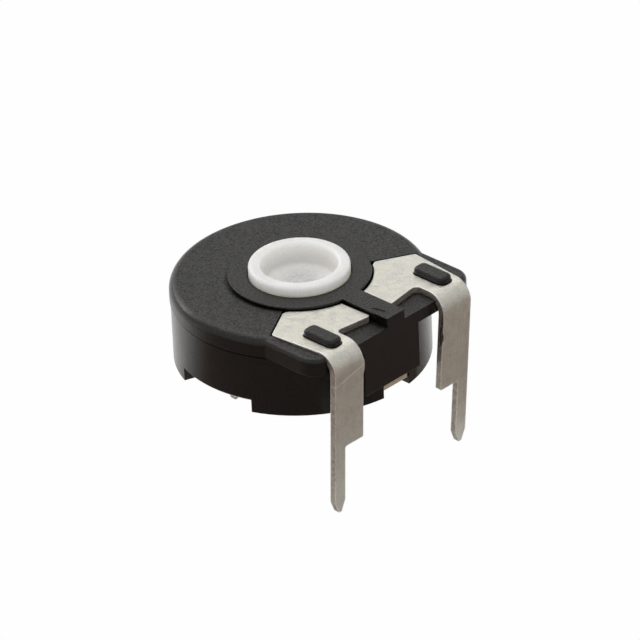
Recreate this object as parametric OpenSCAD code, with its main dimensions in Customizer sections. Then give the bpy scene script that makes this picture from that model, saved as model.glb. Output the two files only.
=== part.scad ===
// Trimmer potentiometer that lies flat on a circuit board and stands on three solder pins.
// The rotor turns about the Z axis, z = 0 is the board under the terminals' shoulders,
// and the two end terminals are on the -Y side. The driver slot is underneath.

/* [Housing] */
// Diameter of the rim round the top
rim_d = 14.82; // [14.6:0.02:15.4]
// How far the rim stands out from the wall below it
rim_step = 0.05; // [0.03:0.01:0.15]
// Height of the rim
rim_h = 1.15; // [0.8:0.05:1.5]
// Rounding of the rim's top edge
rim_edge_r = 0.6; // [0.3:0.02:0.7]
// Height of the top face above the board
top_z = 6.05; // [5.9:0.05:7.5]
// Height of the wall's lower edge above the board
wall_z = 1.88; // [1.75:0.01:2.1]
// Thickness of the cup's wall
wall_t = 0.7; // [0.55:0.05:0.8]
// Thickness of the cup's top
roof_t = 1.3; // [1.0:0.05:1.5]
// Chamfer of the wall's lower edge between the lips
wall_chamfer = 0.12; // [0.05:0.01:0.2]

/* [Boss and nose] */
// Radius of the raised boss round the rotor
boss_r = 4.1; // [3.7:0.05:4.2]
// Height of the boss above the top face
boss_h = 0.18; // [0.08:0.01:0.3]
// Rounding of the boss's top edge
boss_edge_r = 0.06; // [0.02:0.01:0.1]
// Width of the nose between the two terminals
nose_w = 1.4; // [1.0:0.05:1.6]

/* [Ears and front block] */
// How far the ears' sides stand out past the end strips
ear_out = 0.98; // [0.9:0.02:1.2]
// How far the ears' top lies below the top face
ear_drop = 0.12; // [0.08:0.01:0.3]
// How far the flat front stands out from the rim's foremost line
front_step = 0.02; // [0.02:0.01:0.1]
// Corner radius of the ears
ear_corner_r = 1.15; // [0.6:0.05:1.2]
// Rounding of the ears' top edges
ear_edge_r = 0.3; // [0.1:0.05:0.4]
// Reach of the block under the nose to the left and to the right of the middle plane
block_left = 2.6; // [1.5:0.1:2.8]
block_right = 1.8; // [1.5:0.1:2.8]
// Height of the block's lower edge above the wall's
block_lift = 0.2; // [0.1:0.05:0.3]

/* [Lips] */
// How far the lips hang below the wall
lip_h = 0.7; // [0.6:0.05:0.85]
// Reach of the lips inwards under the resistor board
lip_grip = 0.3; // [0.15:0.05:0.4]
// Rounding of the lips' outer edge
lip_edge_r = 0.3; // [0.1:0.05:0.4]
// Half angle of the gaps at the two sides
side_gap = 21; // [10:1:30]
// Half width of the gaps at the front and back
tab_gap_w = 1.03; // [0.8:0.01:1.2]

/* [Terminals] */
// Thickness of the terminal sheet
sheet_t = 0.4; // [0.3:0.05:0.45]
// Distance between the two end pins
pin_pitch = 10.24; // [10:0.02:10.4]
// How far the collector pin's middle lies inside the rim at the back
collector_in = 1.81; // [1.7:0.01:2.2]
// Width of a solder pin
pin_w = 0.8; // [0.6:0.05:1]
// Length of the end pins below the board face
pin_len = 4.2; // [3:0.1:5]
// Length of the collector pin below the board face
collector_pin_len = 4.45; // [3:0.05:5]
// Length of the pins' tapered tips
tip_len = 0.7; // [0.3:0.1:1]
// Width of the flat at the pins' tips
tip_w = 0.2; // [0.1:0.05:0.4]
// Width of the strips above the shoulders
strip_w = 2.25; // [1.6:0.05:2.4]
// Gap between the flat front and the end strips at the bend
strip_gap = 0.17; // [0.12:0.01:0.3]
// Rounding of the shoulders' corners
shoulder_r = 0.08; // [0.04:0.02:0.2]
// Rounding at the root of each pin
shoulder_root_r = 0.15; // [0.05:0.05:0.25]
// Outer radius of the end strips' bend
bend_r = 1.15; // [0.9:0.05:1.2]
// Lean of the bent legs from upright
leg_lean = 2.9; // [0:0.1:4]
// Sideways lean of the right leg, as it was bent
right_splay = 2.3; // [0:0.1:3]
// Outer radius of the collector strip's bend
collector_bend_r = 0.75; // [0.6:0.05:0.8]
// Gap round the plates in their pockets
plate_gap = 0.1; // [0.05:0.01:0.15]
// How far the plates' side corners stand out past the end strips
plate_flare = 0.32; // [0.1:0.02:0.4]
// Distance from the flat front back to the plates' tips beside the nose
tip_back = 1.2; // [1.1:0.02:1.3]
// Distance from the flat front back to the notch between tip and strip
notch_back = 1.55; // [1.45:0.02:1.65]

/* [Studs] */
// Width of the studs that rivet the plates down
stud_w = 1; // [0.85:0.05:1.1]
// Length of the studs
stud_len = 2.3; // [1.8:0.05:2.35]
// Corner radius of the studs, seen from above
stud_corner_r = 0.34; // [0.26:0.02:0.4]
// Height of the studs above the plates
stud_h = 0.4; // [0.3:0.05:0.5]
// Rounding of the studs' top edges
stud_edge_r = 0.22; // [0.1:0.01:0.25]
// How far the studs' middle lies outside the strips' middle
stud_out = 0.08; // [0:0.01:0.2]
// Sideways shift of both studs, as they were moulded
stud_shift = 0.14; // [0:0.01:0.2]
// Distance from the flat front back to the studs' middle
stud_back = 1.49; // [1.45:0.01:1.6]

/* [Rotor] */
// Outer radius of the rotor's ring
ring_r = 2.9; // [2.7:0.01:3]
// Height of the ring above the top face
ring_h = 0.8; // [0.5:0.02:1.2]
// Rounding of the ring's edges
ring_edge_r = 0.25; // [0.1:0.01:0.3]
// Thickness of the ring's wall round the recess
ring_t = 0.7; // [0.62:0.01:0.9]
// Depth of the recess
recess_depth = 1.2; // [0.9:0.05:1.4]
// Rounding between the recess's wall and its floor
recess_corner_r = 0.3; // [0.1:0.05:0.4]
// How far the rotor's flange reaches out under the cup's top
flange_w = 0.55; // [0.4:0.05:0.6]
// Thickness of the flange and of the wiper arm
arm_t = 1.1; // [0.8:0.05:1.2]
// Half angle of the wiper arm
arm_half_angle = 9.5; // [9.5:0.5:11]
// Radius of the rotor's lower journal
journal_r = 2.2; // [2.1:0.01:2.25]
// Width of the driver slots
driver_w = 0.9; // [0.6:0.05:1.1]
// Length of the driver slots
driver_len = 3.3; // [2.6:0.05:3.5]
// Depth of the driver slots
driver_depth = 1.4; // [0.8:0.1:1.8]
// Radial running clearance of the rotor
run_gap = 0.05; // [0.03:0.01:0.08]

/* [Resistor] */
// Thickness of the resistor board
board_t = 0.8; // [0.7:0.05:0.9]
// How far the board's lower face hangs below the wall's lower edge
board_drop = 0.28; // [0.2:0.01:0.35]
// How far the ends of the board's tabs lie inside the rim
tab_in = 0.21; // [0.18:0.01:0.4]
// Gap between the collector's ring and the resistor track
track_clear = 0.35; // [0.25:0.05:0.5]
// Width of the resistor track
track_w = 1.45; // [1.3:0.05:1.7]
// Thickness of the printed track
track_t = 0.06; // [0.04:0.01:0.1]
// Half angle of the gap between the track's ends
track_gap = 20; // [16:1:22]
// Half angle that each end pad covers
pad_half_angle = 9; // [8.5:0.5:10]

/* [Stops and contacts] */
// Half angle of the stop pier at the front
stop_half_angle = 38; // [37:1:42]
// Gap between the rotor's flange and the stop pier
pier_gap = 0.25; // [0.15:0.05:0.3]
// Angle between the middle plane and each contact tongue
tongue_angle = 28; // [27:0.5:29]
// Width of the contact tongues
tongue_w = 0.9; // [0.6:0.05:1.0]
// Thickness of the wiper sheet
wiper_t = 0.15; // [0.1:0.01:0.2]
// Width of the wiper's contact fingers
finger_w = 0.6; // [0.4:0.05:0.7]
// Slant of the wiper's fingers
finger_slant = 50; // [45:1:60]
// Outer radius of the wiper's contact bows
finger_bow_r = 0.35; // [0.3:0.01:0.4]
// Distance of the bows' centres from the arm's middle plane
finger_x = 0.33; // [0.28:0.01:0.36]
// Thickness of the collector's ring on the board
collector_ring_t = 0.2; // [0.15:0.05:0.3]
// Width of the collector's rings round the sleeve's bore
collector_ring_w = 1.25; // [1.15:0.05:1.35]
// Wall of the collector's sleeve through the board
sleeve_t = 0.25; // [0.2:0.01:0.3]

/* [Hidden] */

// Clearance between a piece and the slot or hole that it sits in
fit_gap = 0.05;
// Overlap that joins two forms of one solid, or carries a cut past a face
lap = 0.5;
// A leg starts this far inside its bend, and its faces lie this far inside the bend's
bend_lap = 0.05;
bend_step = 0.005;
// Segments of the small rounded corners of the flat outlines
corner_steps = 6;
$fn = 96;

rim_r = rim_d / 2;
wall_r = rim_r - rim_step;
cavity_r = wall_r - wall_t;
rim_z = top_z - rim_h;
roof_z = top_z - roof_t;
boss_z = top_z + boss_h;
floor_z = top_z - sheet_t;
ear_z = top_z - ear_drop;
front_y = rim_r + front_step;
lip_z = wall_z - lip_h;
block_z = wall_z + block_lift;

// The board's seat is cut this far into the wall
seat_step = 0.2;
board_z = wall_z - board_drop;
board_top = board_z + board_t;
seat_r = cavity_r + seat_step;
board_r = seat_r - fit_gap;
tab_half_w = tab_gap_w - fit_gap;
tab_reach = rim_r - tab_in;
track_top = board_top + track_t;

sleeve_in_r = journal_r + run_gap;
sleeve_out_r = sleeve_in_r + sleeve_t;
collector_ring_r = sleeve_in_r + collector_ring_w;
collector_top = board_top + collector_ring_t;
collector_z = board_z - sheet_t;
track_in_r = collector_ring_r + track_clear;
track_out_r = track_in_r + track_w;

// Room between the wiper arm's end and the cup's wall
arm_clear = 0.3;
// How far the collar stands out over the sleeve, and the journal below it
collar_t = 0.15;
journal_out = 0.1;
ring_z = top_z + ring_h;
recess_r = ring_r - ring_t;
recess_z = ring_z - recess_depth;
recess_floor_t = recess_z - roof_z;
flange_r = ring_r + flange_w;
arm_top = roof_z - run_gap;
arm_z = arm_top - arm_t;
arm_r = cavity_r - arm_clear;
collar_r = sleeve_in_r + collar_t;
collar_z = collector_top + run_gap;
journal_z = collector_z - journal_out;
wiper_z = arm_z - wiper_t;

strip_y = front_y + strip_gap + sheet_t;
strip_out_x = pin_pitch / 2 + pin_w / 2;
strip_in_x = strip_out_x - strip_w;
ear_x = strip_out_x + ear_out;
bend_y = bend_r - strip_y;
bend_z = top_z - bend_r;
collector_pin_y = rim_r - collector_in;
stud_x = strip_out_x - strip_w / 2 + stud_out;
stud_y = front_y - stud_back;

// Corners of a terminal's plate, for the side where x is positive. Those at its back keep
// their parts of the rim's radius, and the inner one lies inside the boss's arc.
plate_side_corner = [strip_out_x + plate_flare, -0.47 * rim_r];
plate_back_corner = rim_r * [0.502, -0.312];
plate_tip = [nose_w / 2 + plate_gap, tip_back - front_y];
plate_inner_corner = [plate_tip.x + plate_gap, -0.9 * boss_r];
plate_notch_y = notch_back - front_y;
plate_arc_r = boss_r + plate_gap;

tongue_r = plate_arc_r + fit_gap;
pier_in_r = flange_r + pier_gap;
// Height of the pier's lower face above the track
pier_lift = 0.3;

function unit(v) = v / norm(v);

// Points of the arc that rounds the corner q of an outline p, q, s with radius r
function corner_arc(p, q, s, r) =
    let (a = unit(p - q))
    let (b = unit(s - q))
    let (half = acos(a * b) / 2)
    let (centre = q + unit(a + b) * r / sin(half))
    let (v0 = q + a * r / tan(half) - centre)
    let (v1 = q + b * r / tan(half) - centre)
    let (turn = atan2(v0.x * v1.y - v0.y * v1.x, v0 * v1))
    [for (i = [0:corner_steps])
        let (w = turn * i / corner_steps)
        centre + [v0.x * cos(w) - v0.y * sin(w), v0.x * sin(w) + v0.y * cos(w)]];

// An outline with each of its corners rounded by the radius beside it
function rounded_outline(points, radii) =
    let (n = len(points))
    [for (i = [0:n - 1])
        each radii[i] > 0
            ? corner_arc(points[(i + n - 1) % n], points[i], points[(i + 1) % n], radii[i])
            : [points[i]]];

// Circle that rounds the edge of a disc of radius r, kept to the outer side of the axis
module edge_circle(r, edge_r, y) {
    intersection() {
        translate([r - edge_r, y])
            circle(edge_r);
        translate([0, y - edge_r - lap])
            square([r + lap, 2 * (edge_r + lap)]);
    }
}

// Half section of a disc with rounded top and bottom edges
module disc_section(r, h, top_r, bottom_r) {
    mid = h / 2;
    square([r - top_r, h]);
    square([r - bottom_r, mid]);
    translate([0, bottom_r])
        square([r, h - bottom_r - top_r]);
    if (top_r > 0)
        edge_circle(r, top_r, h - top_r);
    if (bottom_r > 0)
        edge_circle(r, bottom_r, bottom_r);
}

// Upright disc from z0 to z1 with rounded edges
module disc(r, z0, z1, top_r = 0, bottom_r = 0) {
    translate([0, 0, z0])
        rotate_extrude()
            disc_section(r, z1 - z0, top_r, bottom_r);
}

// Flat ring from z0 to z1
module flat_ring(r_in, r_out, z0, z1) {
    translate([0, 0, z0])
        linear_extrude(z1 - z0)
            difference() {
                circle(r_out);
                circle(r_in);
            }
}

// Wedge seen from above, centred on the angle at, that reaches past radius r
module wedge_2d(r, at, half_angle) {
    reach = r / cos(half_angle / 2) + 1;
    polygon([[0, 0],
        for (w = [-1, -0.5, 0, 0.5, 1])
            reach * [cos(at + w * half_angle), sin(at + w * half_angle)]]);
}

// Section of an edge-rounded block: depth along x from 0, height h, rounded at the far top corner
module lid_section(depth, h, r) {
    square([depth - r, h]);
    square([depth, h - r]);
    translate([depth - r, h - r])
        circle(r);
}

// Square-fronted part of the rim with its ears, a little lower than the top face
module ears() {
    inner_x = ear_x - ear_corner_r;
    inner_y = front_y - ear_corner_r;
    back_y = rim_r / 4;
    ear_h = ear_z - rim_z;
    // Run along Y, one half on each side
    for (side = [0, 1])
        mirror([side, 0, 0])
            translate([0, -back_y, rim_z])
                rotate([90, 0, 0])
                    linear_extrude(inner_y - back_y)
                        lid_section(ear_x, ear_h, ear_edge_r);
    // Run along X behind the front face
    translate([-inner_x, -back_y, rim_z])
        rotate([90, 0, 90])
            linear_extrude(2 * inner_x)
                mirror([1, 0])
                    lid_section(front_y - back_y, ear_h, ear_edge_r);
    // Round corners
    for (side = [-1, 1])
        translate([side * inner_x, -inner_y, 0])
            disc(ear_corner_r, rim_z, ear_z, ear_edge_r);
}

// Space between the lips, with the chamfer of the wall's lower edge above it
module lip_gaps() {
    gap_top = wall_z + wall_chamfer + lap;
    intersection() {
        rotate_extrude()
            polygon([
                [0, lip_z - lap],
                [wall_r + lap, lip_z - lap],
                [wall_r + lap, gap_top],
                [wall_r - wall_chamfer, wall_z],
                [0, wall_z]]);
        translate([0, 0, lip_z - lap])
            linear_extrude(gap_top - lip_z + lap)
                for (half = [0, 180]) {
                    wedge_2d(wall_r, half, side_gap);
                    rotate(half)
                        translate([-tab_gap_w, 0])
                            square([2 * tab_gap_w, wall_r + lap]);
                }
    }
}

// Section of a bar of width w and height h with both top edges rounded
module bar_section(w, h, r) {
    translate([-w / 2, 0])
        square([w, h - r]);
    translate([r - w / 2, 0])
        square([w - 2 * r, h]);
    for (side = [-1, 1])
        translate([side * (w / 2 - r), h - r])
            circle(r);
}

// Stud that rivets a plate down, from z0 up to z1, with rounded corners and top edges
module stud(x, y, z0, z1) {
    core_w = stud_w - 2 * stud_corner_r;
    core_len = stud_len - 2 * stud_corner_r;
    translate([x, y, 0]) {
        for (i = [-1, 1])
            for (j = [-1, 1])
                translate([i * core_w / 2, j * core_len / 2])
                    disc(stud_corner_r, z0, z1, stud_edge_r);
        translate([0, core_len / 2, z0])
            rotate([90, 0, 0])
                linear_extrude(core_len)
                    bar_section(stud_w, z1 - z0, stud_edge_r);
        translate([-core_w / 2, 0, z0])
            rotate([90, 0, 90])
                linear_extrude(core_w)
                    bar_section(stud_len, z1 - z0, stud_edge_r);
    }
}

// Hole for a stud through a plate and the start of its bend
module stud_hole(x) {
    r = stud_corner_r + fit_gap;
    core_w = stud_w - 2 * stud_corner_r;
    core_len = stud_len - 2 * stud_corner_r;
    translate([x, -stud_y, floor_z - sheet_t])
        linear_extrude(3 * sheet_t) {
            square([core_w + 2 * r, core_len], center = true);
            square([core_w, core_len + 2 * r], center = true);
            for (i = [-1, 1])
                for (j = [-1, 1])
                    translate([i * core_w / 2, j * core_len / 2])
                        circle(r);
        }
}

// Pocket for a plate in the top face, open to the front, for the side where x is positive
module pocket_2d() {
    along = unit(plate_back_corner - plate_side_corner);
    across = [-along.y, along.x] * -1;
    side = plate_side_corner + plate_gap * [1, 0.6];
    back = plate_back_corner + plate_gap * across + 0.9 * along;
    difference() {
        polygon([
            side,
            back,
            [nose_w / 2, back.y],
            [nose_w / 2, -strip_y - lap],
            [strip_out_x + plate_gap, -strip_y - lap],
            [strip_out_x + plate_gap, bend_y]]);
        circle(boss_r);
    }
}

// Plan of a terminal's plate up to the bend
module plate_2d() {
    difference() {
        polygon(rounded_outline([
            plate_side_corner,
            plate_back_corner,
            plate_inner_corner,
            plate_tip,
            [strip_in_x, plate_notch_y],
            [strip_in_x, bend_y],
            [strip_out_x, bend_y]],
            [0.1, 0.3, 0, 0.12, 0.35, 0, 0]));
        circle(plate_arc_r);
    }
}

// Bent stretch of a strip between x0 and x1, of outer radius r, turned down by an angle.
// Its upper face starts along -Y at the origin's height plus r.
module bend(x0, x1, r, t, turn, gap = 0) {
    rotate([90, 0, 90])
        rotate([0, 0, 90])
            rotate_extrude(angle = turn)
                translate([r - t - gap, x0 - gap])
                    square([t + 2 * gap, x1 - x0 + 2 * gap]);
}

// Outline of a leg seen from the front, for d downwards from the bend, with the pin's middle
// at x = 0. The strip starts at x0 on the left and ends level with the pin's right side,
// or at -x0 if it has a shoulder on both sides. Splay leans the leg sideways.
module leg_2d(x0, both_sides, shoulder_d, tip_d, splay) {
    pin = pin_w / 2 - bend_step;
    tip = tip_w / 2;
    strip = x0 + bend_step;
    taper_d = tip_d - tip_len;
    // Each corner is x, d and its rounding
    left = [
        [-tip, tip_d, 0],
        [-pin, taper_d, 0],
        [-pin, shoulder_d, shoulder_root_r],
        [strip, shoulder_d, shoulder_r],
        [strip, -bend_lap, 0]];
    right = both_sides
        ? [for (i = [4:-1:0]) [-left[i].x, left[i].y, left[i].z]]
        : [[pin, -bend_lap, 0], [pin, taper_d, 0], [tip, tip_d, 0]];
    outline = concat(left, right);
    points = [for (c = outline) [c.x - c.y * tan(splay), -c.y]];
    polygon(rounded_outline(points, [for (c = outline) c.z]));
}

// Flat leg below a bend of outer radius r whose centre is the origin
module leg(pin_x, x0, both_sides, r, lean, shoulder_z, tip_z, splay = 0) {
    rotate([lean, 0, 0])
        translate([pin_x, sheet_t - r - bend_step, 0])
            rotate([90, 0, 0])
                linear_extrude(sheet_t - 2 * bend_step)
                    leg_2d(x0, both_sides, shoulder_z / cos(lean), tip_z / cos(lean), splay);
}

// Contact tongue that goes down from a plate to the track, widened by gap
module tongue(z0, gap = 0) {
    rotate([0, 0, tongue_angle - 90])
        translate([tongue_r - gap, -tongue_w / 2 - gap, z0])
            cube([sheet_t + 2 * gap, tongue_w + 2 * gap, floor_z + sheet_t / 2 - z0]);
}

// End terminal for the side where x is positive, with its stud hole at hole_x
module end_terminal(splay, hole_x) {
    difference() {
        union() {
            translate([0, 0, floor_z])
                linear_extrude(sheet_t)
                    plate_2d();
            translate([0, bend_y, bend_z])
                bend(strip_in_x, strip_out_x, bend_r, sheet_t, 90 + leg_lean);
        }
        stud_hole(hole_x);
    }
    translate([0, bend_y, bend_z])
        leg(pin_pitch / 2, pin_w / 2 - strip_w, false, bend_r, leg_lean, bend_z,
            bend_z + pin_len, splay);
    tongue(track_top);
}

// Pier of the housing that carries the stops and guides the contact tongues
module stop_pier() {
    pier_z = track_top + pier_lift;
    translate([0, 0, pier_z])
        linear_extrude(roof_z + lap - pier_z)
            intersection() {
                difference() {
                    circle(cavity_r + wall_t / 2);
                    circle(pier_in_r);
                }
                wedge_2d(wall_r, -90, stop_half_angle);
            }
}

module housing() {
    color([0.16, 0.16, 0.17])
    difference() {
        union() {
            difference() {
                union() {
                    disc(rim_d / 2, rim_z, top_z, rim_edge_r);
                    ears();
                    difference() {
                        disc(wall_r, lip_z, rim_z + rim_h / 2, 0, lip_edge_r);
                        lip_gaps();
                    }
                    // Front block and nose
                    translate([-block_left, -front_y, block_z])
                        cube([
                            block_left + block_right,
                            front_y - cavity_r + wall_t / 2,
                            rim_z - block_z + rim_h / 2]);
                    translate([-nose_w / 2, -front_y, rim_z])
                        cube([nose_w, front_y - boss_r + wall_t, boss_z - rim_z]);
                    disc(boss_r, top_z - rim_h / 2, boss_z, boss_edge_r);
                }
                // Cup, its mouth and the seat of the resistor board
                disc(cavity_r, board_top - fit_gap, roof_z);
                disc(seat_r - lip_grip, 0, board_top);
                disc(seat_r, board_z - fit_gap, board_top);
                // Notches of the board's tabs. The front one is closed above by the block's skin,
                // and the back one is open.
                translate([-tab_gap_w, -tab_reach - fit_gap, lip_z])
                    cube([2 * tab_gap_w, tab_reach, board_top - lip_z]);
                translate([-tab_gap_w, -wall_r - lap, lip_z])
                    cube([2 * tab_gap_w, wall_t + lap, block_z - lip_z]);
                translate([-tab_gap_w, 0, lip_z])
                    cube([2 * tab_gap_w, wall_r + lap, board_top - lip_z]);
                // Bore of the rotor
                disc(ring_r + run_gap, roof_z - lap, boss_z + lap);
                // Pockets of the terminal plates and room for their bends
                for (side = [0, 1])
                    mirror([side, 0, 0]) {
                        translate([0, 0, floor_z])
                            linear_extrude(sheet_t + lap)
                                pocket_2d();
                        translate([0, bend_y, bend_z])
                            bend(strip_in_x, strip_out_x, bend_r, sheet_t, 90 + leg_lean, fit_gap);
                    }
            }
            stop_pier();
            for (side = [-1, 1])
                stud(side * stud_x + stud_shift, -stud_y, floor_z - lap, top_z + stud_h);
        }
        for (side = [0, 1])
            mirror([side, 0, 0])
                tongue(board_top, fit_gap);
    }
}

// Wall of the rotor's recess, with its top rounded on both sides
module ring_wall(z0) {
    w = ring_r - recess_r;
    translate([0, 0, z0])
        rotate_extrude()
            translate([recess_r, 0]) {
                square([w, ring_z - ring_edge_r - z0]);
                translate([ring_edge_r, 0])
                    square([w - 2 * ring_edge_r, ring_z - z0]);
                for (x = [ring_edge_r, w - ring_edge_r])
                    translate([x, ring_z - ring_edge_r - z0])
                        circle(ring_edge_r);
                translate([-recess_corner_r, recess_z - z0])
                    difference() {
                        square([recess_corner_r + w / 2, recess_corner_r]);
                        translate([0, recess_corner_r])
                            circle(recess_corner_r);
                    }
            }
}

module rotor() {
    color([0.93, 0.93, 0.9])
    difference() {
        union() {
            disc(ring_r, arm_z + arm_t / 2, recess_z);
            ring_wall(recess_z - recess_floor_t / 2);
            disc(flange_r, arm_z, arm_top);
            translate([0, 0, arm_z])
                linear_extrude(arm_t)
                    intersection() {
                        circle(arm_r);
                        wedge_2d(arm_r, 90, arm_half_angle);
                    }
            disc(collar_r, collar_z, arm_z + arm_t / 2);
            disc(journal_r, journal_z, collar_z + lap);
        }
        // Cross slot for a driver
        for (turn = [0, 90])
            rotate([0, 0, turn])
                translate([-driver_len / 2, -driver_w / 2, journal_z - lap])
                    cube([driver_len, driver_w, driver_depth + lap]);
    }
}

// Points of an arc about c with radius r between two angles
function arc_points(c, r, from, to) =
    [for (i = [0:2 * corner_steps])
        let (w = from + (to - from) * i / (2 * corner_steps))
        c + r * [cos(w), sin(w)]];

// One contact finger at a radius: a leaf that slants down from the wiper's plate and ends in a
// bow, whose lowest line is at height z
module contact_finger(r, z) {
    root_z = wiper_z + wiper_t / 2;
    bow_in_r = finger_bow_r - wiper_t;
    centre = [finger_x, z + finger_bow_r];
    touch = 270 - finger_slant;
    lower = centre + finger_bow_r * [cos(touch), sin(touch)];
    upper = centre + bow_in_r * [cos(touch), sin(touch)];
    run = cos(finger_slant) / sin(finger_slant);
    translate([0, r + finger_w / 2, 0])
        rotate([90, 0, 0])
            linear_extrude(finger_w)
                polygon(concat(
                    [[lower.x - (root_z - lower.y) * run, root_z]],
                    arc_points(centre, finger_bow_r, touch, 360),
                    arc_points(centre, bow_in_r, 360, touch),
                    [[upper.x - (root_z - upper.y) * run, root_z]]));
}

module wiper() {
    hold_r = collar_r + fit_gap;
    plate_r = flange_r - 0.1;
    track_finger_r = (track_in_r + track_out_r) / 2;
    collector_finger_r = (hold_r + collector_ring_r) / 2;
    plate_w = 2 * arm_r * sin(arm_half_angle) * track_in_r / arm_r;
    color([0.78, 0.72, 0.55]) {
        flat_ring(hold_r, plate_r, wiper_z, arm_z);
        translate([-plate_w / 2, hold_r + wiper_t, wiper_z])
            cube([plate_w, track_finger_r + finger_w / 2 - hold_r - wiper_t, wiper_t]);
        contact_finger(track_finger_r, track_top + fit_gap);
        contact_finger(collector_finger_r, collector_top + fit_gap);
    }
}

module resistor_board() {
    color([0.72, 0.6, 0.42])
    translate([0, 0, board_z])
        linear_extrude(board_t)
            difference() {
                union() {
                    circle(board_r);
                    square([2 * tab_half_w, 2 * tab_reach], center = true);
                }
                circle(sleeve_out_r + fit_gap);
            }
}

// Arc of the printed layer between two angles
module printed_arc(middle, half_angle) {
    translate([0, 0, board_top])
        linear_extrude(track_t)
            intersection() {
                difference() {
                    circle(track_out_r);
                    circle(track_in_r);
                }
                wedge_2d(track_out_r, middle, half_angle);
            }
}

pad_middle = track_gap + pad_half_angle;

module resistor_track() {
    carbon_half = 180 - track_gap - 2 * pad_half_angle;
    color([0.1, 0.1, 0.1])
    translate([0, 0, board_top])
        linear_extrude(track_t)
            difference() {
                circle(track_out_r);
                circle(track_in_r);
                wedge_2d(track_out_r, -90, 180 - carbon_half);
            }
}

module track_end_pads() {
    color([0.75, 0.75, 0.72])
    for (side = [-1, 1])
        printed_arc(-90 + side * pad_middle, pad_half_angle);
}

module left_terminal() {
    color([0.8, 0.8, 0.77])
    mirror([1, 0, 0])
        end_terminal(0, stud_x - stud_shift);
}

module right_terminal() {
    color([0.8, 0.8, 0.77])
    end_terminal(right_splay, stud_x + stud_shift);
}

module collector_terminal() {
    half_w = strip_w / 2;
    centre_z = board_z - collector_bend_r;
    centre_y = collector_pin_y + sheet_t / 2 - collector_bend_r - centre_z * tan(leg_lean);
    color([0.8, 0.8, 0.77]) {
        flat_ring(sleeve_in_r, sleeve_out_r, collector_z, collector_top);
        flat_ring(sleeve_in_r, collector_ring_r, board_top, collector_top);
        difference() {
            union() {
                flat_ring(sleeve_in_r, collector_ring_r, collector_z, board_z);
                translate([-half_w, 0, collector_z])
                    cube([strip_w, centre_y, sheet_t]);
            }
            disc(sleeve_in_r, collector_z - lap, board_z + lap);
        }
        translate([0, centre_y, centre_z])
            rotate([0, 0, 180]) {
                bend(-half_w, half_w, collector_bend_r, sheet_t, 90 - leg_lean);
                leg(0, -half_w, true, collector_bend_r, -leg_lean, centre_z,
                    centre_z + collector_pin_len);
            }
    }
}

housing();
rotor();
wiper();
resistor_board();
resistor_track();
track_end_pads();
left_terminal();
right_terminal();
collector_terminal();
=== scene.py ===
# %% [markdown]
# # A trimmer potentiometer
#
# This lesson dresses the model of a small trimmer potentiometer, the kind that is soldered to a circuit
# board and set once with a tool. Its solids come ready made from the CAD model: a black cup, a white
# rotor, a tan resistor board and three tinned terminals. What is left to do is what makes them look
# real: surfaces, the small marks of moulding and stamping, light and a camera. All lengths in Blender
# are in metres here, so a helper turns millimetres into metres.

import math

import bmesh
import bpy
from mathutils import Matrix, Vector
from mathutils.geometry import interpolate_bezier


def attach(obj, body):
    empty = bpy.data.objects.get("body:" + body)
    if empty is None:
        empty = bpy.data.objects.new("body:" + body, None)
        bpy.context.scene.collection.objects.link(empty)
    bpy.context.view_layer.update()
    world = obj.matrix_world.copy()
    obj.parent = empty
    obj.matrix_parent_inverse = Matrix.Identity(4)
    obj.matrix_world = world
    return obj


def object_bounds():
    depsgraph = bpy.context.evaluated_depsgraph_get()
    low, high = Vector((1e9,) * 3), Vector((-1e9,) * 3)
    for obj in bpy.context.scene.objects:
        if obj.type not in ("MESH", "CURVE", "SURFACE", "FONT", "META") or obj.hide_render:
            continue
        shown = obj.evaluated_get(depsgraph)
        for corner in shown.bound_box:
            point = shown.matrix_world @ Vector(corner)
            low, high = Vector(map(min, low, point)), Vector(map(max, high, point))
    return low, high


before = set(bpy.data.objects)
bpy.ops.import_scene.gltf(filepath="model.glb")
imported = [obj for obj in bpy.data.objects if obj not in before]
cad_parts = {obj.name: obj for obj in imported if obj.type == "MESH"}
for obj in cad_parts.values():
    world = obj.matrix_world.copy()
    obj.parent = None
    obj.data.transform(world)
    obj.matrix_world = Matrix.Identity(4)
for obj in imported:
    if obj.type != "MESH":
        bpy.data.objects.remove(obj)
cad_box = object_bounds()
MM = 0.001


def mm(*values):
    """Turns millimetres into a vector in metres."""
    return Vector(values) * MM


print("CAD nodes:", sorted(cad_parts))

# %% [markdown]
# ## The camera
#
# The photograph was taken with a long lens from about twenty body widths away, so parallel edges stay
# nearly parallel. The camera stands in front on the left and looks down by about 31 degrees. It could
# be set by eye, but the turn, the height, the distance and a small roll were worked out from the
# outline of the part, and that puts every edge where the photograph has it.

# %% Camera
CAM_TURN = math.radians(-44.95)
CAM_HEIGHT = math.radians(30.595)
CAM_ROLL = math.radians(-2.55)
CAM_DISTANCE = 336.68 * MM
CAM_TARGET = mm(1.0077, -0.4519, 2.7345)
FOCAL_PX = 5938.569
IMAGE_PX = 640
SENSOR_MM = 36
UP = Vector((0, 0, 1))

back = Vector((
    math.sin(CAM_TURN) * math.cos(CAM_HEIGHT),
    -math.cos(CAM_TURN) * math.cos(CAM_HEIGHT),
    math.sin(CAM_HEIGHT)))
level_right = (-back).cross(UP).normalized()
level_up = level_right.cross(-back)
cam_right = level_right * math.cos(CAM_ROLL) + level_up * math.sin(CAM_ROLL)
cam_up = level_up * math.cos(CAM_ROLL) - level_right * math.sin(CAM_ROLL)

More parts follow.
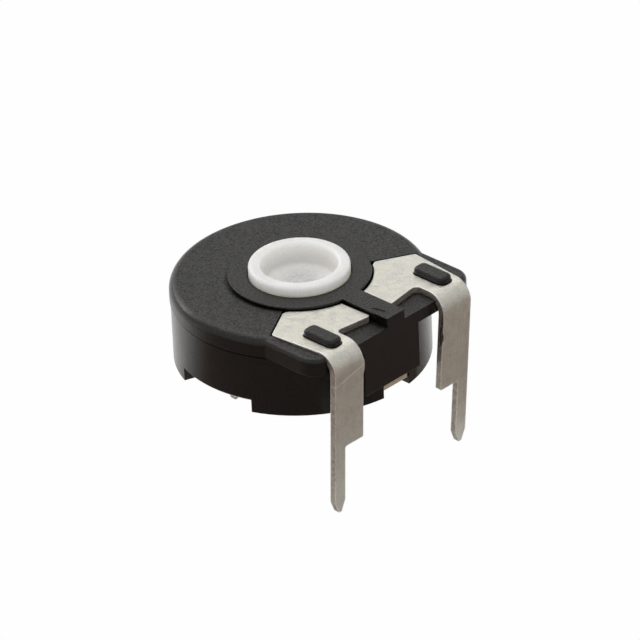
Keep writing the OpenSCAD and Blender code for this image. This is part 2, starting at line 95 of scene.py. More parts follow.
camera_data = bpy.data.cameras.new("camera")
camera_data.sensor_width = SENSOR_MM
camera_data.lens = FOCAL_PX * SENSOR_MM / IMAGE_PX
camera_data.clip_start = 0.01
camera_data.clip_end = 20
camera = bpy.data.objects.new("camera", camera_data)
bpy.context.scene.collection.objects.link(camera)
camera.matrix_world = Matrix.Translation(CAM_TARGET + back * CAM_DISTANCE) @ Matrix(
    (cam_right, cam_up, back)).transposed().to_4x4()
bpy.context.scene.camera = camera
bpy.context.scene.view_settings.view_transform = "Standard"
print("lens", round(camera_data.lens, 2), "mm")

# %% [markdown]
# ## A helper for nodes
#
# The room, the floor and every material are made of shader nodes. Adding and linking them one by one
# takes many lines, so a small class has short calls for the usual ones. A value that is given to a
# call may be a number, a colour or the output of another node.


# %% Nodes with short calls
class Graph:
    """The node tree of a world or a material."""

    def __init__(self, owner, empty=True):
        owner.use_nodes = True
        self.nodes, self.links = owner.node_tree.nodes, owner.node_tree.links
        if empty:
            self.nodes.clear()

    def put(self, socket, value):
        """Links a node's output to a socket, or sets the socket's own value."""
        if isinstance(value, bpy.types.NodeSocket):
            self.links.new(value, socket)
        else:
            socket.default_value = value

    def node(self, kind, **inputs):
        """Adds a node and sets inputs by name, with _ in place of a space."""
        made = self.nodes.new(kind)
        for name, value in inputs.items():
            self.put(made.inputs[name.replace("_", " ")], value)
        return made

    def output(self, kind, name):
        """The named output of a new node that needs no input."""
        return self.nodes.new(kind).outputs[name]

    def fill(self, made, *values):
        """Sets the first inputs of a node, in their order."""
        for socket, value in zip(made.inputs, values):
            self.put(socket, value)
        return made

    def math(self, kind, *values):
        """A number worked out from others."""
        made = self.nodes.new("ShaderNodeMath")
        made.operation = kind
        return self.fill(made, *values).outputs[0]

    def vector(self, kind, result, *values):
        """A vector or a number worked out from vectors."""
        made = self.nodes.new("ShaderNodeVectorMath")
        made.operation = kind
        return self.fill(made, *values).outputs[result]

    def spread(self, value, low, high, to_low=0.0, to_high=1.0, smooth=False):
        """A number that goes from to_low to to_high while the value goes from low to high."""
        made = self.node("ShaderNodeMapRange", Value=value, From_Min=low, From_Max=high,
                         To_Min=to_low, To_Max=to_high)
        if smooth:
            made.interpolation_type = "SMOOTHSTEP"
        return made.outputs["Result"]

    def between(self, share, first, second):
        """A number between two others."""
        return self.node("ShaderNodeMix", Factor=share, A=first, B=second).outputs["Result"]

    def mix(self, share, first, second):
        """A colour between two others."""
        made = self.nodes.new("ShaderNodeMix")
        made.data_type = "RGBA"
        for socket, value in zip((made.inputs[0], made.inputs[6], made.inputs[7]), (share, first, second)):
            self.put(socket, value)
        return made.outputs[2]

    def either(self, share, first, second):
        """One of two shaders, or a share of each."""
        return self.fill(self.nodes.new("ShaderNodeMixShader"), share, first, second).outputs[0]


print("calls:", ", ".join(name for name in vars(Graph) if not name.startswith("_")))

# %% [markdown]
# ## The room
#
# The picture has a white room above and behind the part and a darker front, where the camera stands.
# Glossy black plastic shows this well: its top is grey with the room's sheen, and its wall is nearly
# black. Panels of light could stand round the part, but a world whose brightness depends on direction
# gives the same sheen without noise. The camera itself sees plain white.

# %% World
ROOM_TOP = 0.9
ROOM_BACK = 0.81
ROOM_FRONT = 0.74
FRONT_TO_BACK = (-1.2, 0.8)
SIDE_TO_TOP = (0.35, 0.85)
PAPER_WHITE = 0.991

world = bpy.data.worlds.new("room")
bpy.context.scene.world = world
room = Graph(world)
toward = room.node("ShaderNodeSeparateXYZ", Vector=room.output("ShaderNodeTexCoord", "Generated")).outputs
sides = room.spread(room.math("ADD", toward["X"], toward["Y"]), *FRONT_TO_BACK, ROOM_FRONT, ROOM_BACK)
bright = room.between(room.spread(toward["Z"], *SIDE_TO_TOP, smooth=True), sides, ROOM_TOP)
seen = room.between(room.output("ShaderNodeLightPath", "Is Camera Ray"), bright, PAPER_WHITE)
background = room.node("ShaderNodeBackground", Strength=seen)
room.node("ShaderNodeOutputWorld", Surface=background.outputs[0])
print("room brightness: front", ROOM_FRONT, "back", ROOM_BACK, "top", ROOM_TOP)

# %% [markdown]
# ## Soft lights
#
# Two soft lights add what an even room can't, as a photographer's softboxes do. The large one hangs
# above and gives the white ring and the bends their form. The small one stands behind on the left,
# where it draws a bright streak along the rounded rim. Both are wide for their distance, so no shadow
# has a hard edge.


# %% Lights
def soft_light(name, place, size, power):
    """A rectangular light that looks at the part."""
    data = bpy.data.lights.new(name, "AREA")
    data.shape = "RECTANGLE"
    data.size, data.size_y = size
    data.energy = power
    light = bpy.data.objects.new(name, data)
    bpy.context.scene.collection.objects.link(light)
    light.location = place
    light.rotation_euler = (Vector(place) - CAM_TARGET).to_track_quat("Z", "Y").to_euler()
    print(name, "is", round((Vector(place) - CAM_TARGET).length, 2), "m away")


soft_light("softbox", (0.05, 0.10, 0.30), (0.30, 0.22), 0.37)
soft_light("back_light", (-0.04, 0.43, 0.20), (0.22, 0.14), 0.34)

# %% [markdown]
# ## The floor
#
# The part stands on its three pin tips, so the floor lies at the lowest of them. It is plain and pale
# under, behind and beside the part. Farther out toward the front it turns warm and dim, as a white
# sheet does where the photographer shades it. The black wall and the tinned legs mirror this, which
# gives them their shape. A dark card could lie there, but its edge would show in the wall, and a
# colour that fades with distance has none. The camera sees the floor as white as the paper behind it,
# and from below the sheet is clear, so the underside can be looked at too.

# %% Floor
FLOOR_HALF = 2.0
PALE = (0.95, 0.95, 0.94, 1)
SHADED = (0.27, 0.215, 0.185, 1)
TOWARD_FRONT = (-0.602, -0.798, 0)
SHADE_FROM, SHADE_TO = -10 * MM, 3 * MM
DISC_FROM, DISC_TO = 9 * MM, 15 * MM

floor_z = cad_box[0][2]
floor_mesh = bpy.data.meshes.new("floor")
floor_mesh.from_pydata(
    [(x * FLOOR_HALF, y * FLOOR_HALF, floor_z) for x, y in ((-1, -1), (1, -1), (1, 1), (-1, 1))],
    [], [(0, 1, 2, 3)])
floor = bpy.data.objects.new("floor", floor_mesh)
bpy.context.scene.collection.objects.link(floor)

sheet = bpy.data.materials.new("floor_sheet")
paper = Graph(sheet)
spot = paper.output("ShaderNodeTexCoord", "Object")
in_front = paper.spread(
    paper.vector("DOT_PRODUCT", "Value", spot, TOWARD_FRONT), SHADE_FROM, SHADE_TO, smooth=True)
far_out = paper.spread(paper.vector("LENGTH", "Value", spot), DISC_FROM, DISC_TO, smooth=True)
tint = paper.mix(paper.math("MULTIPLY", in_front, far_out), PALE, SHADED)
lit = paper.node("ShaderNodeBsdfDiffuse", Color=tint).outputs[0]
white = paper.node("ShaderNodeEmission", Strength=PAPER_WHITE).outputs[0]
upper_side = paper.either(paper.output("ShaderNodeLightPath", "Is Camera Ray"), lit, white)
clear = paper.output("ShaderNodeBsdfTransparent", "BSDF")
both_sides = paper.either(paper.output("ShaderNodeNewGeometry", "Backfacing"), upper_side, clear)
paper.node("ShaderNodeOutputMaterial", Surface=both_sides)
floor_mesh.materials.append(sheet)
print("floor at z", round(floor_z / MM, 2), "mm")

# %% [markdown]
# ## Surfaces
#
# Real surfaces are never even: they have grain, patches, specks and worn edges. All of it could be
# painted, but noise of the right size gives it on every side at once, from any distance. This helper
# works in millimetres on the object, and so do all places, sizes and depths below. Real edges are
# never quite sharp either, so it can also round them in the shading, where they catch a thin line of
# light.

# %% A helper for materials
SOFT_SAMPLES = 8
SPECK_CORE = 0.6
NOISE_SPAN = (0.3, 0.7)
EDGE_SPAN = (0.997, 0.95)
NOOK_SPAN = (0.4, 0.9)


class Surface(Graph):
    """A material with one Principled shader, with noise, masks and bump in millimetres."""

    def __init__(self, name, edge_mm=0.0):
        self.material = bpy.data.materials.new(name)
        super().__init__(self.material, empty=False)
        self.shader = self.nodes["Principled BSDF"]
        self.normal = None
        if edge_mm:
            rounded = self.node("ShaderNodeBevel", Radius=edge_mm * MM)
            rounded.samples = SOFT_SAMPLES
            self.rounded = self.normal = rounded.outputs["Normal"]
            self.set(Normal=self.normal)

    def coords(self, stretch=(1, 1, 1)):
        """Place on the object in millimetres; a stretch below 1 draws noise out along that axis."""
        place = self.output("ShaderNodeTexCoord", "Object")
        return self.node("ShaderNodeMapping", Vector=place, Scale=[s / MM for s in stretch]).outputs[0]

    def place(self):
        """X, Y and Z on the object in millimetres."""
        return self.node("ShaderNodeSeparateXYZ", Vector=self.coords()).outputs

    def from_axis(self, spot):
        """Distance from the rotor's axis in millimetres."""
        return self.math("SQRT", self.math(
            "ADD", self.math("POWER", spot["X"], 2), self.math("POWER", spot["Y"], 2)))

    def facing(self):
        """How much a face looks along X, Y and Z, from 0 to 1."""
        size = self.vector("ABSOLUTE", "Vector", self.output("ShaderNodeTexCoord", "Normal"))
        return self.node("ShaderNodeSeparateXYZ", Vector=size).outputs

    def noise(self, per_mm, detail=3, roughness=0.55, coords=None):
        """Soft noise with about per_mm waves on a millimetre."""
        made = self.node("ShaderNodeTexNoise", Scale=per_mm, Detail=detail, Roughness=roughness,
                         Vector=coords or self.coords())
        return made.outputs["Fac"]

    def vary(self, noise, low, high):
        """A number that follows a noise from low to high."""
        return self.spread(noise, *NOISE_SPAN, low, high)

    def specks(self, per_mm, size):
        """Small round dots, about per_mm of them on a millimetre."""
        made = self.node("ShaderNodeTexVoronoi", Scale=per_mm, Vector=self.coords())
        return self.spread(made.outputs["Distance"], size, SPECK_CORE * size)

    def edge(self):
        """1 where the shading rounds an edge, 0 on the flat."""
        true = self.output("ShaderNodeNewGeometry", "Normal")
        return self.spread(self.vector("DOT_PRODUCT", "Value", true, self.rounded), *EDGE_SPAN)

    def open_share(self, reach_mm):
        """1 on open faces, toward 0 deep in a corner or a gap."""
        made = self.node("ShaderNodeAmbientOcclusion", Distance=reach_mm * MM)
        made.samples = SOFT_SAMPLES
        return self.spread(made.outputs["AO"], *NOOK_SPAN)

    def ramp(self, value, *stops):
        """A colour picked by a number, from stops of a number and a colour."""
        made = self.node("ShaderNodeValToRGB", Fac=value)
        points = made.color_ramp.elements
        while len(points) < len(stops):
            points.new(0.5)
        for point, (at, colour) in zip(points, stops):
            point.position = at
            point.color = (*colour, 1)
        return made.outputs["Color"]

    def bump(self, height, depth_mm, strength=1.0):
        """Raises and sinks the shading by a height, on top of what is there already."""
        made = self.node("ShaderNodeBump", Height=height, Strength=strength, Distance=depth_mm * MM)
        if self.normal:
            self.links.new(self.normal, made.inputs["Normal"])
        self.normal = made.outputs["Normal"]
        self.set(Normal=self.normal)

    def set(self, **inputs):
        """Sets inputs of the shader."""
        for name, value in inputs.items():
            self.put(self.shader.inputs[name.replace("_", " ")], value)


def dress(node, surface):
    """Gives a CAD node a surface by way of its material slots."""
    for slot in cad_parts[node].material_slots:
        slot.material = surface.material
    print(node, "wears", surface.material.name, "with", len(surface.nodes), "nodes")


# %% [markdown]
# ## Dark lines on the housing
#
# The foot of the boss on the top face and the edge of the wall just under the rim lie in shade, and
# show as thin dark lines, finer than a groove would be. They are painted shadow, not cut into the part:
# two masks by place take the shine away there, and on black plastic a place without shine is a dark
# line.

# %% Dark lines
TOP_Z = 6.05
TOP_FADE = (0.06, 0.02)
BOSS_R = 4.1
BOSS_LINE = (0.30, 0.10)
BOSS_SIDE = (-1, 3)
RIM_Z = 4.9
RIM_LINE = (-0.16, -0.08)
RIM_FADE = 0.02
WALL_FRONT = (-4, -3.5)
LINE_SHINE = 0.12


def painted_shadow_lines(plastic):
    """Painted shadow: the shine left along the foot of the boss in front and just under the rim."""
    spot = plastic.place()
    radius = plastic.from_axis(spot)
    frontward = plastic.math("SUBTRACT", 0, plastic.math("ADD", spot["X"], spot["Y"]))
    beside_boss = plastic.math(
        "MULTIPLY", plastic.spread(radius, *(BOSS_R + reach for reach in BOSS_LINE)),
        plastic.spread(frontward, *BOSS_SIDE))
    on_top = plastic.spread(spot["Z"], *(TOP_Z + rise for rise in TOP_FADE))
    under_rim = plastic.math(
        "MULTIPLY", plastic.spread(spot["Z"], RIM_Z + RIM_FADE, RIM_Z - RIM_FADE),
        plastic.spread(spot["Z"], *(RIM_Z + drop for drop in RIM_LINE)))
    line = plastic.math(
        "MAXIMUM", plastic.math("MULTIPLY", beside_boss, on_top),
        plastic.math("MULTIPLY", under_rim, plastic.spread(spot["Y"], *WALL_FRONT)))
    return plastic.spread(line, 0, 1, 1, LINE_SHINE)


print("dark lines at z", TOP_Z, "and", RIM_Z, "mm")

# %% [markdown]
# ## Black moulded plastic
#
# The housing is moulded in black plastic. It is black right through, so what the eye reads is the
# gloss, and the nodes work on the gloss more than on the colour. The mould's top half was eroded to a
# fine grain, which makes the top satin. Its side was polished, so the wall is glossier. Moulded
# corners have a tiny round that shows as a light line, and a little dust lies on the top.

# %% Housing surface
PLASTIC_EDGE = 0.04
UPWARD = (0.75, 0.98)
DEEP_BLACK = (0.0016, 0.0012, 0.0011)
SOFT_BLACK = (0.0040, 0.0033, 0.0030)
DUST = (0.05, 0.046, 0.04, 1)
WARM_SHINE = (1, 0.97, 0.94, 1)
SHINE = (0.08, 0.5)
TOP_GLOSS = (0.34, 0.46)
RIM_GLOSS = 0.27
WALL_GLOSS = (0.15, 0.22)
FLOW_PER_MM = 0.35
STREAKS_PER_MM = 1.6
STREAK_STRETCH = (1, 1, 0.25)
GRAIN_PER_MM = 9
GRAIN_SPAN = (0.38, 0.62)
SPARKLE = 0.55
SIDE_SPARKLE = 0.3
SIDE_GRAIN = 0.25
NOOK_REACH = 0.3
DUST_PER_MM = 1.1
DUST_SIZE = 0.06
GRAIN_DEPTH = 0.035
FLOW_DEPTH = 0.05
FLOW_STRENGTH = 0.4


def moulded_black(name):
    """Black plastic, grained on top and smooth at the sides."""
    plastic = Surface(name, edge_mm=PLASTIC_EDGE)
    flow = plastic.noise(FLOW_PER_MM, detail=4)
    streaks = plastic.noise(STREAKS_PER_MM, detail=4, coords=plastic.coords(STREAK_STRETCH))
    grain = plastic.noise(GRAIN_PER_MM, detail=3, roughness=0.65)
    upward = plastic.spread(plastic.facing()["Z"], *UPWARD)
    black = plastic.ramp(flow, (0.35, DEEP_BLACK), (0.7, SOFT_BLACK))

    sparkle = plastic.math("MULTIPLY", plastic.spread(grain, *GRAIN_SPAN, -SPARKLE, SPARKLE),
                           plastic.spread(upward, 0, 1, SIDE_SPARKLE, 1))
    # Painted shade: the shine fades in corners and gaps by the occlusion mask, and along the painted
    # shadow lines.
    shine = plastic.math("MULTIPLY", plastic.spread(plastic.open_share(NOOK_REACH), 0, 1, *SHINE),
                         plastic.math("MULTIPLY", plastic.math("ADD", sparkle, 1), painted_shadow_lines(plastic)))
    side_gloss = plastic.mix(
        plastic.spread(plastic.place()["Z"], RIM_Z - RIM_FADE, RIM_Z + RIM_FADE),
        plastic.vary(streaks, *WALL_GLOSS), (RIM_GLOSS, RIM_GLOSS, RIM_GLOSS, 1))
    dust = plastic.math("MULTIPLY", plastic.specks(DUST_PER_MM, DUST_SIZE), upward)
    plastic.set(
        Base_Color=plastic.mix(dust, black, DUST),
        Roughness=plastic.mix(upward, side_gloss, plastic.vary(grain, *TOP_GLOSS)),
        Specular_IOR_Level=shine,
        Specular_Tint=WARM_SHINE)
    plastic.bump(plastic.math("MULTIPLY", grain, plastic.spread(upward, 0, 1, SIDE_GRAIN, 1)), GRAIN_DEPTH)
    plastic.bump(flow, FLOW_DEPTH, FLOW_STRENGTH)
    return plastic


black_plastic = moulded_black("housing_plastic")
dress("housing", black_plastic)

# %% [markdown]
# ## Milky plastic
#
# The rotor is moulded in milk-white plastic that lets a little light in, so its ring glows softly even
# on the shaded side. Subsurface scattering does this as the real plastic does. Its walls are painted
# brighter than its top, a painted light for the light that comes through them from both sides, and its
# foot is painted warm, a painted light for the light that the black top sends back. The floor of the
# recess is frosted, because the moulding tool is rough there, and it is painted darker as painted shade,
# with painted light toward its edge.

# %% Rotor surface
RING_EDGE = 0.18
RING_INSIDE = (2.4, 2.25)
RING_OUTSIDE = (2.7, 2.85)
FOOT_SPAN = (6.6, 6.2)
RECESS_SPAN = (6.3, 5.8)
FLOOR_SPAN = (0.6, 1.9)
FLAT_SPAN = (0.5, 0.9)
TOP_WHITES = (0.70, 0.695, 0.68), (0.77, 0.765, 0.75)
OUTER_WALL = (0.99, 0.965, 0.94, 1)
WARM_FOOT = (0.99, 0.92, 0.82, 1)
INNER_WALL = (0.93, 0.91, 0.87, 1)
PORE = (0.55, 0.53, 0.50, 1)
FROST_AND_SHADE = (0.48, 0.48, 0.47), (0.61, 0.605, 0.59)
CLOUDS_PER_MM = 0.8
PORES_PER_MM = 9
FROST_PER_MM = 7
PORE_SPAN = (0.4, 0.6)
PORE_SHARE = 0.12
PORE_DEPTH = 0.018
FLOOR_EDGE_LIGHT = 0.62
RING_GLOSS = (0.34, 0.48)
GLOW_COLOUR = (1, 0.93, 0.84)
GLOW_REACH = 1.2


def moulded_milky(name):
    """White plastic that light goes into."""
    milk = Surface(name, edge_mm=RING_EDGE)
    cloud = milk.noise(CLOUDS_PER_MM, detail=4)
    pores = milk.noise(PORES_PER_MM, detail=3)
    spot = milk.place()
    radius = milk.from_axis(spot)
    white = milk.ramp(cloud, *zip(NOISE_SPAN, TOP_WHITES))
    # Painted light: the outer wall is brighter than the top and the foot is warmer.
    white = milk.mix(milk.spread(radius, *RING_OUTSIDE), white, OUTER_WALL)
    white = milk.mix(milk.spread(spot["Z"], *FOOT_SPAN), white, WARM_FOOT)
    white = milk.mix(milk.spread(radius, *RING_INSIDE), white, INNER_WALL)
    white = milk.mix(milk.spread(pores, *PORE_SPAN, PORE_SHARE, 0), white, PORE)

    rough = milk.noise(FROST_PER_MM, detail=4, roughness=0.7)
    # Painted shade: the frosted recess floor is darker than the top, with painted light toward its edge.
    frost_and_shade = milk.ramp(rough, *zip(PORE_SPAN, FROST_AND_SHADE))
    frost_and_shade = milk.mix(milk.spread(radius, *FLOOR_SPAN, 0, FLOOR_EDGE_LIGHT), frost_and_shade, INNER_WALL)
    deep = milk.math("MULTIPLY", milk.spread(spot["Z"], *RECESS_SPAN),
                     milk.spread(milk.facing()["Z"], *FLAT_SPAN))
    milk.set(
        Base_Color=milk.mix(deep, white, frost_and_shade),
        Roughness=milk.vary(cloud, *RING_GLOSS),
        Subsurface_Weight=1.0,
        Subsurface_Radius=GLOW_COLOUR,
        Subsurface_Scale=GLOW_REACH * MM)
    milk.bump(pores, PORE_DEPTH)
    return milk


dress("rotor", moulded_milky("rotor_plastic"))

# %% [markdown]
# ## Crease and cut faces
#
# The bending tool pressed a slanting crease into the left strip, and stamping leaves the cut faces of
# the sheet bare. Both belong to a place on the stamping, so each gets a mask: the crease by its
# distance from a line, and the cut faces by the way they look, sideways or upright at the plate.

# %% Masks for the tin
CREASE_START = (-5.43, 4.16)
CREASE_END = (-3.71, 4.57)
CREASE_WIDTH = 0.05
LEFT_HALF = (0.1, -0.1)
PLATE_TOP = 5.62
PLATE_FADE = 0.05
UPRIGHT = (0.45, 0.25)
SIDEWAYS = (0.80, 0.92)


def crease_share(tin, spot):
    """1 on the crease line of the left strip, 0 away from it."""
    slope = (CREASE_END[1] - CREASE_START[1]) / (CREASE_END[0] - CREASE_START[0])
    line = tin.math("MULTIPLY_ADD", spot["X"], slope, CREASE_START[1] - slope * CREASE_START[0])
    away = tin.math("ABSOLUTE", tin.math("SUBTRACT", spot["Z"], line))
    return tin.math("MULTIPLY", tin.spread(away, CREASE_WIDTH, 0), tin.spread(spot["X"], *LEFT_HALF))


def bare_share(tin, spot):
    """1 on a cut face, which looks sideways or stands upright at the height of the plate."""
    side = tin.facing()
    at_plate = tin.spread(spot["Z"], PLATE_TOP, PLATE_TOP + PLATE_FADE)
    plate = tin.math("MULTIPLY", tin.spread(side["Z"], *UPRIGHT), at_plate)
    return tin.math("MAXIMUM", tin.spread(side["X"], *SIDEWAYS), plate)


print("crease", round(math.dist(CREASE_START, CREASE_END), 2), "mm long")

# %% [markdown]
# ## Tinned sheet
#
# The terminals are stamped from sheet and tinned. Tin is a dull, warm silver with cloudy patches where
# it ran, fine specks and faint rolling lines. One noise for each of them is mixed into the colour and
# the bump, at its own size. The cut faces are darker, browner and streaked across the sheet. The edges
# are worn bright, and painted brighter still as painted glints.

# %% Terminal surface
TIN_EDGE = 0.12
PATCHES = (0.35, (0.60, 0.565, 0.53)), (0.5, (0.65, 0.635, 0.56)), (0.65, (0.69, 0.675, 0.57))
BARE = (0.35, (0.36, 0.32, 0.28)), (0.65, (0.58, 0.53, 0.47))
BRIGHT_SPECK = (0.78, 0.77, 0.72, 1)
BRIGHT_CREASE = (0.85, 0.84, 0.80, 1)
WORN_GLINT_EDGE = (0.97, 0.965, 0.93, 1)
TIN_METAL = 0.75
PATCHES_PER_MM = 1.8
SPECKS_PER_MM = 9
ROLLING_PER_MM = 6
ALONG_SHEET = (1, 0.12, 0.12)
SHEAR_PER_MM = 5
ACROSS_SHEET = (0.3, 1, 1)
SPECK_SPAN = (0.48, 0.66)
SPECK_SHARE = 0.6
CREASE_SHARE = 0.6
WORN_GLINT_SPAN = (0.4, 0.6)
WORN_GLINT_LEAST = 0.4
PATCH_SPAN = (0.35, 0.65)
SPECK_GLOSS = (0.18, 0.28)
PATCH_GLOSS = (0.12, 0.24)
PATCH_DEPTH = 0.05
PATCH_STRENGTH = 0.8
ROLLING_DEPTH = 0.006
SPECK_DEPTH = 0.028
CREASE_DEPTH = 0.02


def tinned_sheet(name, cut_faces):
    """Tin with patches, specks, rolling lines and worn edges painted bright as painted glints, and bare
    cut faces if asked.
    """
    tin = Surface(name, edge_mm=TIN_EDGE)
    spot = tin.place()
    patches = tin.noise(PATCHES_PER_MM, detail=5, roughness=0.6)
    speckle = tin.noise(SPECKS_PER_MM, detail=3, roughness=0.7)
    rolling = tin.noise(ROLLING_PER_MM, detail=3, coords=tin.coords(ALONG_SHEET))
    crease = crease_share(tin, spot)
    colour = tin.ramp(patches, *PATCHES)
    colour = tin.mix(tin.spread(speckle, *SPECK_SPAN, 0, SPECK_SHARE), colour, BRIGHT_SPECK)
    colour = tin.mix(tin.math("MULTIPLY", crease, CREASE_SHARE), colour, BRIGHT_CREASE)
    if cut_faces:
        shear = tin.noise(SHEAR_PER_MM, detail=4, coords=tin.coords(ACROSS_SHEET))
        colour = tin.mix(bare_share(tin, spot), colour, tin.ramp(shear, *BARE))
    # Worn edges with painted glints: the rounded edges are lighter in colour.
    worn_and_glint = tin.math("MULTIPLY", tin.edge(), tin.spread(speckle, *WORN_GLINT_SPAN, WORN_GLINT_LEAST, 1))
    tin.set(
        Metallic=TIN_METAL,
        Base_Color=tin.mix(worn_and_glint, colour, WORN_GLINT_EDGE),
        Roughness=tin.math("ADD", tin.vary(speckle, *SPECK_GLOSS),
                           tin.spread(patches, *PATCH_SPAN, *PATCH_GLOSS)))
    tin.bump(patches, PATCH_DEPTH, PATCH_STRENGTH)
    tin.bump(rolling, ROLLING_DEPTH)
    tin.bump(speckle, SPECK_DEPTH)
    tin.bump(crease, CREASE_DEPTH)
    return tin


sheet_tin = tinned_sheet("terminal_tin", cut_faces=True)
for name in ("left_terminal", "right_terminal", "collector_terminal"):
    dress(name, sheet_tin)

# %% [markdown]
# ## The board
#
# The board is a laminate of brown paper and resin. Only its edge shows in the gap between the lips,
# and its lower face from below. Noise that is drawn out along one way and packed along another looks
# like the paper's fibres and layers.

# %% Board surface
PAPER_TONES = (0.50, 0.39, 0.25), (0.68, 0.59, 0.45)
FIBRES_PER_MM = 3
PAPER_FIBRES = (1, 0.3, 4)
FIBRE_DEPTH = 0.006

laminate = Surface("paper_laminate", edge_mm=0.03)
fibres = laminate.noise(FIBRES_PER_MM, detail=5, coords=laminate.coords(PAPER_FIBRES))
laminate.set(Base_Color=laminate.ramp(fibres, *zip(NOISE_SPAN, PAPER_TONES)), Roughness=0.6)
laminate.bump(fibres, FIBRE_DEPTH)
dress("resistor_board", laminate)

# %% [markdown]
# ## Track and contacts
#
# Inside, the board carries the printed carbon track and two silver pads, and a spring of bronze sheet
# slides on them. The photograph doesn't show them, but someone may open the model. A dull black, a
# dull silver and a brushed bronze are enough, each with fine noise in its gloss and its bump.

# %% Inner surfaces
CARBON = (0.015, 0.015, 0.016, 1)
SILVER = (0.62, 0.61, 0.58, 1)
BRONZE = (0.62, 0.44, 0.24, 1)
GLOSS_PER_MM = 12
PRINT_PER_MM = 20
BRUSHED = (1, 0.1, 0.1)
PRINT_DEPTH = 0.003
BRUSH_DEPTH = 0.002

carbon = Surface("carbon_ink")
carbon.set(Base_Color=CARBON, Roughness=carbon.vary(carbon.noise(GLOSS_PER_MM), 0.55, 0.75))
carbon.bump(carbon.noise(PRINT_PER_MM), PRINT_DEPTH)
dress("resistor_track", carbon)

silver = Surface("silver_ink")
silver.set(Metallic=1.0, Base_Color=SILVER, Roughness=silver.vary(silver.noise(GLOSS_PER_MM), 0.45, 0.6))
silver.bump(silver.noise(PRINT_PER_MM), PRINT_DEPTH)
dress("track_end_pads", silver)

bronze = Surface("spring_bronze")
bronze.set(Metallic=1.0, Base_Color=BRONZE, Roughness=bronze.vary(bronze.noise(2), 0.25, 0.35))
bronze.bump(bronze.noise(8, coords=bronze.coords(BRUSHED)), BRUSH_DEPTH)
dress("wiper", bronze)

# %% [markdown]
# ## Small marks
#
# Four marks of the making stand out, so they are small pieces of their own: a sliver on the nose,
# where the plastic entered the mould, a burr on the inner edge of each strip and a torn edge below
# the right one, where the punch tore the sheet. A bump could only pretend to raise them, and they
# show in the outline. Each one is a thin lens along a path, pointed at both ends: rings of points that
# shrink toward the two tips.

# %% A sliver along a path
STEPS_ROUND = 10


def sliver(name, path, out, reach, width, surface):
    """A lens along a path: reach is how far it stands out, width is how broad it is."""
    mesh = bmesh.new()
    last = len(path) - 1
    turns = [2 * math.pi * k / STEPS_ROUND for k in range(STEPS_ROUND)]
    rings = []
    for i in range(1, last):
        share = math.sqrt(math.sin(math.pi * i / last))
        aside = (path[i + 1] - path[i - 1]).cross(out).normalized() * width / 2 * share
        rings.append([mesh.verts.new(path[i] + out * reach * share * math.cos(a) + aside * math.sin(a))
                      for a in turns])
    for ring, after in zip(rings, rings[1:]):
        for k in range(STEPS_ROUND):
            mesh.faces.new((ring[k], ring[k - 1], after[k - 1], after[k]))
    for tip, ring in ((mesh.verts.new(path[0]), rings[0]), (mesh.verts.new(path[last]), rings[-1])):
        for k in range(STEPS_ROUND):
            mesh.faces.new((tip, ring[k], ring[k - 1]))
    bmesh.ops.recalc_face_normals(mesh, faces=mesh.faces)
    data = bpy.data.meshes.new(name)
    mesh.to_mesh(data)
    mesh.free()
    data.shade_smooth()
    data.materials.append(surface.material)
    piece = bpy.data.objects.new(name, data)
    bpy.context.scene.collection.objects.link(piece)
    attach(piece, "stator")
    print(name, len(data.polygons), "faces")


# %% [markdown]
# ## Gate mark
#
# Plastic enters the mould through a small gate, and breaking it off leaves a thin curved ridge on the
# nose. Four points of a Bezier curve give its bow, and the plastic's own surface dresses it.

# %% Gate mark on the nose
NOSE_TOP = 6.23
GATE_MARK = ((-0.39, -5.91), (-0.21, -6.20), (-0.16, -6.61), (-0.13, -6.89))
GATE_REACH = 0.05
GATE_WIDTH = 0.09
GATE_STEPS = 14

gate_path = interpolate_bezier(*(mm(x, y, NOSE_TOP) for x, y in GATE_MARK), GATE_STEPS)
sliver("gate_mark", gate_path, UP, GATE_REACH * MM, GATE_WIDTH * MM, black_plastic)

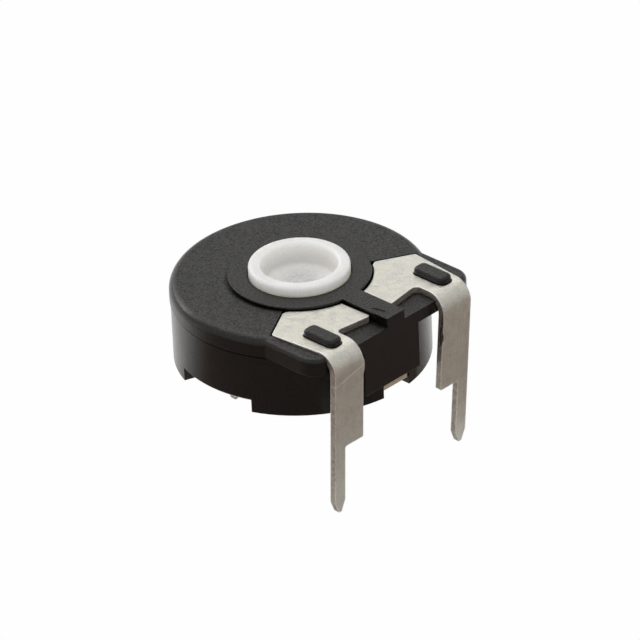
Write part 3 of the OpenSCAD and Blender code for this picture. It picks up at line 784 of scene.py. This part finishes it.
# %% [markdown]
# ## Burrs
#
# The strips bend over the housing's front edge and hang with a small lean. The burrs lie on their
# inner edges, so a helper finds a place on a strip from how far it lies below the bend and how deep
# it lies in the sheet. That way each burr follows the bend and the lean as the sheet does. The left
# burr is tin, and the right ones are torn metal, rough and coloured dark as painted shade.

# %% Burrs on the strips
BEND_Y = -6.85
BEND_Z = 4.9
BEND_R = 1.15
LEAN = math.radians(2.9)
STRIP_EDGE_X = 3.24
BURR_STEPS = 12
SHADED_TORN_TONES = (0.05, 0.042, 0.035), (0.12, 0.105, 0.09)
TORN_PER_MM = 8
TORN_SPAN = (0.4, 0.6)
TORN_DEPTH = 0.03


def on_strip(x, below, depth):
    """A place on a strip: below is negative on the bend, and depth is the distance into the sheet."""
    r = BEND_R - depth
    if below < 0:
        turn = -below / r - LEAN
        return mm(x, BEND_Y - r * math.cos(turn), BEND_Z + r * math.sin(turn))
    return mm(
        x,
        BEND_Y - r * math.cos(LEAN) + below * math.sin(LEAN),
        BEND_Z - r * math.sin(LEAN) - below * math.cos(LEAN))


def burr(name, side, start, end, depth, reach, width, surface):
    """A burr on the inner edge of the strip on one side, -1 for the left and 1 for the right."""
    path = [on_strip(side * STRIP_EDGE_X, start + (end - start) * i / BURR_STEPS, depth)
            for i in range(BURR_STEPS + 1)]
    sliver(name, path, Vector((-side, 0, 0)), reach * MM, width * MM, surface)


burr_tin = tinned_sheet("burr_tin", cut_faces=False)
# Painted shade: the torn metal on the right strip's edge is coloured dark for the shade that lies there.
shaded_torn_metal = Surface("shaded_torn_metal")
torn = shaded_torn_metal.noise(TORN_PER_MM, detail=4)
shaded_torn_metal.set(
    Metallic=0.6,
    Base_Color=shaded_torn_metal.ramp(torn, *zip(TORN_SPAN, SHADED_TORN_TONES)),
    Roughness=shaded_torn_metal.vary(torn, 0.5, 0.7))
shaded_torn_metal.bump(torn, TORN_DEPTH)

burr("left_burr", -1, start=-0.35, end=0.9, depth=0.12, reach=0.16, width=0.2, surface=burr_tin)
burr("right_burr", 1, start=-0.1, end=1.0, depth=0.07, reach=0.05, width=0.12, surface=shaded_torn_metal)
burr("right_torn_edge", 1, start=0.7, end=2.2, depth=0.12, reach=0.09, width=0.26, surface=shaded_torn_metal)

# %% [markdown]
# ## Finish
#
